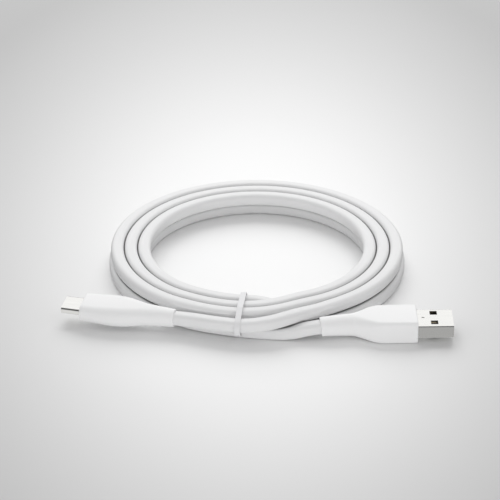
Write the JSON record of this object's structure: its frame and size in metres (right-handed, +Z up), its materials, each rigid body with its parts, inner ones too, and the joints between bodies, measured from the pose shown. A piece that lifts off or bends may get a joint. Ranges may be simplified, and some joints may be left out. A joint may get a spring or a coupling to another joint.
{
  "type": "charging cable",
  "caption": "Round charging cord coiled flat and held by a twist tie, with a Type-A plug on one end and a Type-C plug on the other.",
  "frame": {"origin": "bottom centre of the whole cable's bounding box, on the table it lies on", "axes": "+Z up, +X towards the Type-A plug, +Y away from the side where both plugs lie"},
  "size_m": [0.1308, 0.109, 0.0103],
  "materials": {
    "jacket_white": "smooth satin cable jacket",
    "plug_steel": "bright nickel plated steel",
    "inner_steel": "plain tinned steel",
    "contact_gold": "gold plated contacts",
    "insulator_dark": "moulded dark insulator",
    "wire_insulation": "coloured wire insulation",
    "inner_mold": "hard natural inner moulding",
    "overmold_white": "satin moulded outer body",
    "board_green": "solder masked board",
    "resistor_ceramic": "chip resistor",
    "tie_white": "plastic coated tie strip",
    "tie_wire": "soft iron wire"
  },
  "bodies": {
    "cable": {"type_a_shell": "plug_steel", "type_a_insulator": "insulator_dark", "type_a_contact_power": "contact_gold", "type_a_contact_data_minus": "contact_gold", "type_a_contact_data_plus": "contact_gold", "type_a_contact_ground": "contact_gold", "type_a_conductors": "wire_insulation", "type_a_ferrule": "inner_steel", "type_a_cable_end": "jacket_white", "type_a_inner_mold": "inner_mold", "type_a_overmold": "overmold_white", "type_c_shell": "plug_steel", "type_c_housing": "insulator_dark", "type_c_contacts_upper": "contact_gold", "type_c_contacts_lower": "contact_gold", "type_c_latch": "inner_steel", "type_c_ground_springs": "inner_steel", "type_c_board": "board_green", "type_c_resistor": "resistor_ceramic", "type_c_rear_shield": "inner_steel", "type_c_conductors": "wire_insulation", "type_c_ferrule": "inner_steel", "type_c_cable_end": "jacket_white", "type_c_inner_mold": "inner_mold", "type_c_overmold": "overmold_white", "cable_coil": "jacket_white", "cable_tail_type_a": "jacket_white", "cable_tail_type_c": "jacket_white"},
    "tie": {"tie_sleeve": "tie_white", "tie_core_wire": "tie_wire"}
  },
  "joints": [
    {"name": "tie_slide_round_coil", "type": "hinge", "parent": "cable", "child": "tie", "pos_m": [0.00025, 0.00223, 0], "axis": [0, 0, 1], "range_deg": [-16, 1]}
  ]
}
